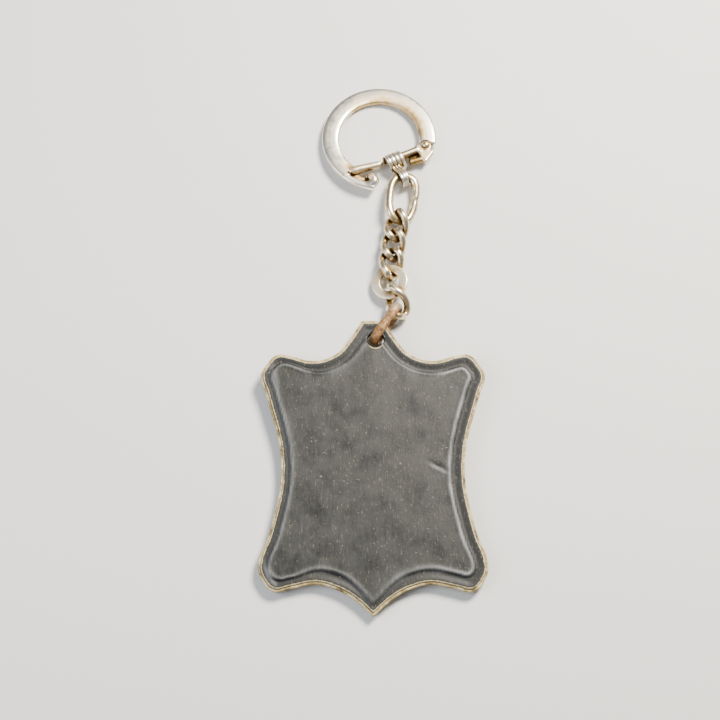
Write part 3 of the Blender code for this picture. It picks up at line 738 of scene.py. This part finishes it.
def bandPiece(name, inner, outer, start, end, steps, crown=0.45):
    # an oval section, squared off, spun round the ring's centre
    half = (outer - inner) / 2
    freshStart()
    bpy.ops.mesh.primitive_circle_add(vertices=32, radius=mm, fill_type="NGON")
    band = nameIt(name)
    for vertex in band.data.vertices:
        x, y = vertex.co.x / mm, vertex.co.y / mm
        x, y = [math.copysign(abs(value) ** crown, value) for value in (x, y)]
        angle = math.radians(start)
        r = (inner + outer) / 2 + half * x
        flat = ringPlan["half"] * (y if y < 0 else y * (1 - 0.1 * x * x))
        vertex.co = (r * math.cos(angle) * mm, r * math.sin(angle) * mm, flat * mm)
    bpy.ops.object.mode_set(mode="EDIT")
    bpy.ops.mesh.select_all(action="SELECT")
    bpy.ops.mesh.spin(steps=steps, angle=math.radians(end - start), center=(0, 0, 0), axis=(0, 0, -1))
    bpy.ops.object.mode_set(mode="OBJECT")
    # the starting disc is left inside as the end cap, and spin leaves the far one open
    shape = bmesh.new()
    shape.from_mesh(band.data)
    bmesh.ops.remove_doubles(shape, verts=shape.verts, dist=0.002 * mm)
    openEdges = [e for e in shape.edges if len(e.link_faces) == 1]
    if openEdges:
        bmesh.ops.holes_fill(shape, edges=openEdges, sides=0)
    shape.to_mesh(band.data)
    shape.free()
    softenEdges(band, 0.25, 3, 60)
    cleanUp(band)
    return band

def roundEnd(band, degrees):
    # draws the end face out in two short, narrowing steps
    outward = Vector(onRing(degrees - 90, 1))
    at = Vector(onRing(degrees, (ringPlan["inner"] + ringPlan["outer"]) / 2)) * mm
    for reach, scale in ((0.3, 0.9), (0.2, 0.82)):
        pickFaces(band, lambda face: face.normal.dot(outward) > 0.95
                  and (face.center - at).length < 1.5 * mm)
        bpy.ops.mesh.extrude_region_move(TRANSFORM_OT_translate={"value": outward * reach * mm})
        bpy.ops.transform.resize(value=(scale, scale, scale), center_override=at + outward * reach * mm)
        bpy.ops.object.mode_set(mode="OBJECT")
        at = at + outward * reach * mm
    cleanUp(band)

keyRing = bandPiece("keyRing", ringPlan["inner"], ringPlan["outer"],
                    ringPlan["start"], ringPlan["split"] + 2, 160)
floorPlan = {"in": 0.9, "out": 0.5, "end": 261, "drop": 0.62, "thin": 0.3}
troughFloor = bandPiece("troughFloor", ringPlan["inner"] + floorPlan["in"],
                        ringPlan["stripInner"] + floorPlan["out"], ringPlan["split"], floorPlan["end"], 24)
troughFloor.data.transform(Matrix.Translation((0, 0, -floorPlan["drop"] * mm))
                           @ Matrix.Diagonal((1, 1, floorPlan["thin"], 1)))
strip = bandPiece("strip", ringPlan["stripInner"], ringPlan["outer"],
                  ringPlan["split"] - 3, ringPlan["end"], 30)

# each knot of the prong and the hook is a place and the radius there
prongPath = smoothPath([
    (*onRing(219, 11.1), 0.8), (*onRing(227, 10.95), 0.86),
    (-6.3, -8.75, 0, 1.08), (-4.9, -8.32, 0, 1.1),
    (-3.0, -7.84, 0, 1.02), (-0.2, -7.08, 0, 0.97), (0.1, -7.0, 0, 0.94)], 6)
prong = bendWire("prong", [p[:3] for p in prongPath], [p[3] for p in prongPath])
softenEdges(prong, 0.2, 2)
hookPath = smoothPath([
    (*onRing(254, 13.0, 0), 0.85), (*onRing(259, 12.8, 0), 1.0),
    (-1.65, -12.3, 0.1, 1.12), (-1.25, -11.6, 0.25, 1.18), (-1.5, -10.95, 0.3, 1.14),
    (-2.1, -10.7, 0.35, 1.05), (-2.7, -10.9, 0.35, 0.95)], 8)
hook = bendWire("hook", [p[:3] for p in hookPath], [p[3] for p in hookPath])
softenEdges(hook, 0.2, 2)
stampPlan = {"lugThick": 0.55, "lugDrop": 0.52, "recessGap": 0.1,
             "crease": ((198.5, 9), (191.5, 14.8)), "creaseHeight": 0.88, "creaseRadius": 0.25,
             "reliefAt": (232.5, 12.15), "reliefRadius": 0.42, "voxel": 0.13}
freshStart()
bpy.ops.mesh.primitive_cylinder_add(
    vertices=64, radius=ringPlan["lugRadius"] * mm, depth=stampPlan["lugThick"] * mm,
    location=(*[c * mm for c in ringPlan["rivet"]], -stampPlan["lugDrop"] * mm))
bpy.ops.object.transform_apply(location=True, rotation=True, scale=True)
lug = nameIt("lug")
softenEdges(lug, 0.12, 2)
recess = rodBetween("recess", (*ringPlan["rivet"], -0.2), (*ringPlan["rivet"], 3),
                    ringPlan["lugRadius"] + stampPlan["recessGap"], 64)
creaseStart, creaseEnd = [onRing(*place, stampPlan["creaseHeight"]) for place in stampPlan["crease"]]
crease = rodBetween("crease", creaseStart, creaseEnd, stampPlan["creaseRadius"], 16)
relief = rodBetween("relief", onRing(*stampPlan["reliefAt"], -2), onRing(*stampPlan["reliefAt"], 2),
                    stampPlan["reliefRadius"], 24)
roundEnd(keyRing, ringPlan["start"])
fuse(keyRing, [lug, strip, troughFloor, prong, hook], stampPlan["voxel"], 5)
for tool in (recess, crease, relief):
    cut(keyRing, tool, "DIFFERENCE")
cleanUp(keyRing, 50)

# along the bar from the rivet, and across it towards the chain
gatePlan = {
    "barFrom": 1.9, "eyeRadius": 1.35, "eyeHeights": (0.1, 0.95), "neckHeights": (0.1, 0.9),
    "neck": ((0, 1.1), (2.6, 0.95), (2.6, -0.95), (0, -1.1)),
    "stop": ((-0.75, 1.05), (-1.25, 2.3), (1.95, 4.25), (2.55, 2.4), (2.4, 0.4)), "stopHalf": 0.8,
    "rail": ((5.3, 2.4), (1.4, 2.9)), "railRadius": 0.8,
    "web": ((1.6, 0), (4.9, 0), (4.9, 2.4), (1.6, 2.6)), "webHeights": (-0.78, -0.42),
    "lugClearance": 0.3, "voxel": 0.1,
}

def gateOutline(name):
    return [onBar(*place)[:2] for place in gatePlan[name]]

rivetAt = ringPlan["rivet"]
gateBar = rodBetween("gateBar", onBar(gatePlan["barFrom"], 0), onBar(ringPlan["barLength"], 0),
                     ringPlan["barRadius"])
softenEdges(gateBar, 0.25, 3)
eyeLow, eyeHigh = gatePlan["eyeHeights"]
eye = rodBetween("eye", (*rivetAt, eyeLow), (*rivetAt, eyeHigh), gatePlan["eyeRadius"], 64)
softenEdges(eye, 0.2, 3)
flatNeck = plateFrom("flatNeck", gateOutline("neck"), *gatePlan["neckHeights"])
softenEdges(flatNeck, 0.25, 3, 30)
stop = plateFrom("stop", gateOutline("stop"), -gatePlan["stopHalf"], gatePlan["stopHalf"])
softenEdges(stop, 0.42, 4, 30)
rail = rodBetween("rail", *[onBar(*place) for place in gatePlan["rail"]], gatePlan["railRadius"])
softenEdges(rail, 0.2, 2)
web = plateFrom("web", gateOutline("web"), *gatePlan["webHeights"])
clearance = rodBetween("clearance", (*rivetAt, -3), (*rivetAt, eyeLow),
                       ringPlan["lugRadius"] + gatePlan["lugClearance"], 64)
fuse(gateBar, [flatNeck, eye, stop, rail, web], gatePlan["voxel"], 4)
cut(gateBar, clearance, "DIFFERENCE")
cleanUp(gateBar, 50)

rivetPlan = {"head": 0.95, "flatten": 0.72, "headAt": 1.0, "shank": 0.5, "tail": 0.85,
             "tailHeights": (-1.3, -0.85)}
freshStart()
bpy.ops.mesh.primitive_uv_sphere_add(segments=48, ring_count=24, radius=rivetPlan["head"] * mm)
gateRivet = nameIt("gateRivet")
bpy.ops.object.mode_set(mode="EDIT")
bpy.ops.mesh.select_all(action="SELECT")
bpy.ops.mesh.bisect(plane_co=(0, 0, 0), plane_no=(0, 0, 1), use_fill=True, clear_inner=True)
bpy.ops.mesh.select_all(action="SELECT")
bpy.ops.transform.resize(value=(1, 1, rivetPlan["flatten"]))
bpy.ops.object.mode_set(mode="OBJECT")
gateRivet.data.transform(Matrix.Translation((*[c * mm for c in rivetAt], rivetPlan["headAt"] * mm)))
shank = rodBetween("shank", (*rivetAt, -1.0), (*rivetAt, 1.2), rivetPlan["shank"], 32)
tailLow, tailHigh = rivetPlan["tailHeights"]
tail = rodBetween("tail", (*rivetAt, tailLow), (*rivetAt, tailHigh), rivetPlan["tail"], 48)
softenEdges(tail, 0.18, 3)
cut(gateRivet, shank, "UNION")
cut(gateRivet, tail, "UNION")
cleanUp(gateRivet, 40)

sleevePlan = {
    "at": 8.5, "drop": 0.5, "loopDrop": 5.6, "loopAngle": 19,
    "upper": {"bore": 1.6, "outer": 2.15, "turns": 4, "pitch": 1.04, "ribHalf": 0.5},
    "lower": {"bore": 1.8, "outer": 2.2, "turns": 3, "pitch": 0.5, "ribHalf": 0.27},
    "wire": 0.34, "wireShifts": (-0.68, 0, 0.68), "neckHalf": 1.1,
    # lean along the bar, distance past the bar's axis or the loop's, height
    "fromBar": ((0.55, 1.85, 0.95), (0.38, 2.4, 0.8)),
    "toLoop": ((0.15, -2.0, 1.0), (0.05, -1.5, 1.3)),
    "overLoop": ((-0.02, -0.8, 1.8), (-0.06, 0, 2.05), (-0.1, 0.8, 1.8)),
}

def coil(name, plan, at, degrees):
    # a flattened wire section wound into a close coil by a Screw modifier, its axis level
    freshStart()
    bpy.ops.mesh.primitive_circle_add(vertices=20, radius=mm, fill_type="NGON")
    spring = nameIt(name)
    middle = (plan["bore"] + plan["outer"]) / 2
    length = plan["turns"] * plan["pitch"]
    for vertex in spring.data.vertices:
        vertex.co = ((middle + vertex.co.x / mm * (plan["outer"] - plan["bore"]) / 2) * mm, 0,
                     (vertex.co.y / mm * plan["ribHalf"] - length / 2) * mm)
    wind = spring.modifiers.new("wind", "SCREW")
    wind.steps = wind.render_steps = 48
    wind.iterations = plan["turns"]
    wind.screw_offset = plan["pitch"] * mm
    wind.use_merge_vertices = True
    wind.merge_threshold = 0.001 * mm
    makeActive(spring)
    bpy.ops.object.modifier_apply(modifier=wind.name)
    angle = math.radians(degrees)
    aside = Matrix.Rotation(math.radians(50), 4, "Z")  # the wire's cut ends go underneath, at the back
    turned = turnTo((math.cos(angle), math.sin(angle), 0)) @ aside
    spring.data.transform(Matrix.Translation(Vector(at) * mm) @ turned)
    return spring

upperAt = onBar(sleevePlan["at"], sleevePlan["drop"])
lowerAt = onBar(sleevePlan["at"], sleevePlan["loopDrop"])
sleeve = coil("ribbedSleeve", sleevePlan["upper"], upperAt, ringPlan["barAngle"])
lowerCoil = coil("lowerCoil", sleevePlan["lower"], lowerAt, sleevePlan["loopAngle"])
crossings = []
for index, shift in enumerate(sleevePlan["wireShifts"]):
    for side in (1, -1):
        # the wires run down the neck, each one leaning to the right, and over the front of the lower coil
        along = sleevePlan["at"] - shift * side
        route = [onBar(along + lean, sleevePlan["drop"] + past, side * height)
                 for lean, past, height in sleevePlan["fromBar"]]
        route += [onBar(along + lean, sleevePlan["loopDrop"] + past, side * height)
                  for lean, past, height in sleevePlan["toLoop"]]
        if side > 0:
            route += [onBar(along + lean, sleevePlan["loopDrop"] + past, height)
                      for lean, past, height in sleevePlan["overLoop"]]
        crossings.append(bendWire(f"crossing{index}{side}", route, sleevePlan["wire"]))
neckHalf = sleevePlan["neckHalf"]
neck = plateFrom("neck", [onBar(sleevePlan["at"] + a, b)[:2] for a, b in (
    (-neckHalf, 2.0), (neckHalf, 2.0), (neckHalf, 4.0), (-neckHalf, 4.0))], -0.8, 0.8)
crossings.append(neck)
sleeve = joinInto(sleeve, [lowerCoil] + crossings)
cleanUp(sleeve, 40)

for piece, finish, node, body in (
        (keyRing, bandNickel, "key_ring", "ring"), (gateBar, wireNickel, "gate_bar", "gate"),
        (gateRivet, wireNickel, "gate_rivet", "ring"), (sleeve, bandNickel, "ribbed_sleeve", "sleeve")):
    piece.data.transform(ringPlace)
    finishPiece(piece, finish, node, body)
    metalPieces.append(piece)
print("stage: ring, gate and sleeve")

# Painted shade, with the tarnish of the hollows: each point darkens by the share of its sky that metal or
# leather blocks.
grimeShadePlan = {"reach": 1.6, "rays": 24, "lift": 0.03, "ringInside": 0.34, "prongSide": 0.22, "rail": 0.35}

def closedIn(pieces, others, reach):
    corners, faces = [], []
    for piece in pieces + others:
        first = len(corners)
        corners += [v.co.copy() for v in piece.data.vertices]
        faces += [[first + i for i in p.vertices] for p in piece.data.polygons]
    tree = BVHTree.FromPolygons(corners, faces)
    rays = []
    goldenAngle = math.pi * (3 - math.sqrt(5))
    for index in range(grimeShadePlan["rays"]):
        z = 1 - 2 * (index + 0.5) / grimeShadePlan["rays"]
        spread, angle = math.sqrt(1 - z * z), index * goldenAngle
        rays.append(Vector((spread * math.cos(angle), spread * math.sin(angle), z)))
    for piece in pieces:
        mark = piece.data.attributes.new("grime", "FLOAT", "POINT")
        values = []
        for vertex in piece.data.vertices:
            start = vertex.co + vertex.normal * grimeShadePlan["lift"] * mm
            sky, blocked = 0.0, 0.0
            for ray in rays:
                weight = ray.dot(vertex.normal)
                if weight > 0.05:
                    sky += weight
                    if tree.ray_cast(start, ray, reach * mm)[0]:
                        blocked += weight
            values.append(min(1.0, blocked / max(sky, 1e-6)))
        mark.data.foreach_set("value", values)

closedIn(metalPieces, [fobFront, fobCore], grimeShadePlan["reach"])

# painted shade: the ring's inner edge is browned at the top and the right, and along the prong's side,
# where the rounded inner edge lies in shade
toRing = ringPlace.inverted()
for vertex, entry in zip(keyRing.data.vertices, keyRing.data.attributes["grime"].data):
    place = (toRing @ vertex.co) / mm
    reach, angle = math.hypot(place.x, place.y), math.degrees(math.atan2(place.y, place.x))
    inner = (1 - ease(reach, 10.1, 12.8)) * ease(angle, -8, 6) * (1 - ease(angle, 110, 150))
    prongSide = (1 - ease(reach, 11.6, 12.2)) * ease(-place.y, 6.2, 7.2)
    entry.value = min(1.0, entry.value + grimeShadePlan["ringInside"] * inner + grimeShadePlan["prongSide"] * prongSide)

# painted shade: the gate's short rail is browned, for the shade it lies in beside the bar
barTurn = math.radians(ringPlan["barAngle"])
for vertex, entry in zip(gateBar.data.vertices, gateBar.data.attributes["grime"].data):
    fromRivet = ((toRing @ vertex.co) / mm).xy - Vector(rivetAt)
    across = fromRivet.x * math.sin(barTurn) - fromRivet.y * math.cos(barTurn)
    along = -fromRivet.x * math.cos(barTurn) - fromRivet.y * math.sin(barTurn)
    onRail = ease(across, 1.3, 1.9) * ease(along, 1.9, 2.6)
    entry.value = min(1.0, entry.value + grimeShadePlan["rail"] * onRail)
print("stage: dirt on", len(metalPieces), "metal pieces")
